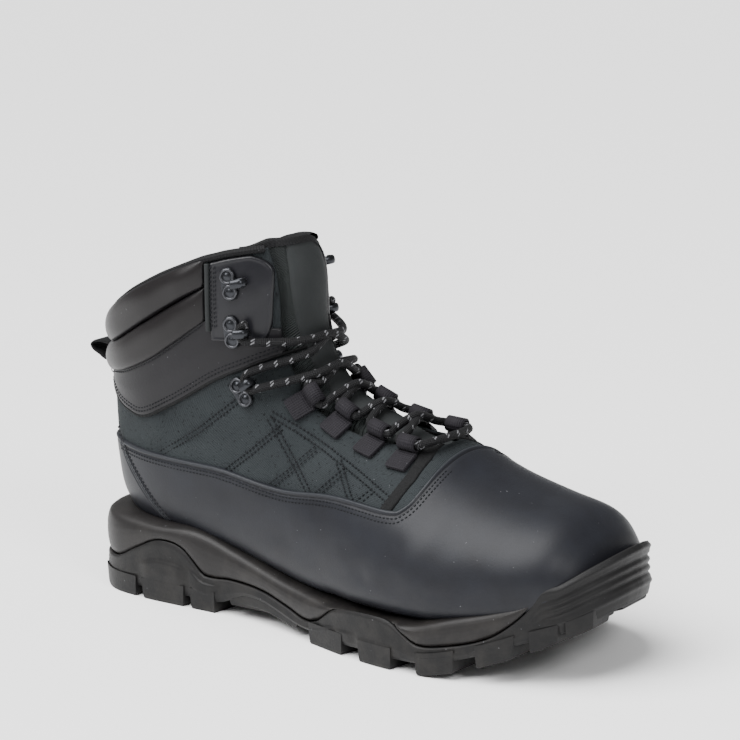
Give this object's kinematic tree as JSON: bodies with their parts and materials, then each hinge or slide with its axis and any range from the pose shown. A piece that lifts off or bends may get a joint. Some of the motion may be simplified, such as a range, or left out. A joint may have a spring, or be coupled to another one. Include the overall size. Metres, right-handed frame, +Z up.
{
  "type": "wading boot",
  "caption": "Lace-up ankle boot for wading: hollow quilted upper, smooth wrap-around rand and toe, padded collar, webbing loops, hooks, and a lugged sole with heel, arch and toe spring.",
  "frame": {"origin": "middle of the footprint of the bounding box, at the floor the boot stands on", "axes": "+X towards the toe, +Y towards the inner side of the right foot, +Z up"},
  "size_m": [0.3298, 0.115, 0.1849],
  "materials": {
    "rubber": "moulded matt rubber",
    "foam": "moulded foam with a satin skin",
    "nubuck": "coated nubuck, soft sheen",
    "textile": "woven textile with quilting stitches",
    "band": "smooth coated leather",
    "pad": "soft padded satin leather",
    "tape": "woven tape",
    "metal": "dark gunmetal lacquer",
    "cord": "round braided lace with light flecks",
    "lining": "matt lining and padded tongue cloth"
  },
  "bodies": {
    "root": {"outsole": "rubber", "midsole": "foam", "insole": "lining", "upper": "textile", "rand": "nubuck", "heel_counter": "nubuck", "ankle_band": "band", "collar_pad_lower": "pad", "collar_pad_upper": "pad", "pull_loop": "tape", "collar_binding": "tape", "tongue": "lining", "tongue_binding": "tape", "lace": "cord", "flap_lateral": "band", "ankle_hook_lateral": "metal", "lace_loop_lateral_1": "tape", "lace_loop_lateral_2": "tape", "lace_loop_lateral_3": "tape", "lace_loop_lateral_4": "tape", "hook_lateral_1": "metal", "hook_lateral_2": "metal", "flap_medial": "band", "ankle_hook_medial": "metal", "lace_loop_medial_1": "tape", "lace_loop_medial_2": "tape", "lace_loop_medial_3": "tape", "lace_loop_medial_4": "tape", "hook_medial_1": "metal", "hook_medial_2": "metal"}
  },
  "joints": []
}
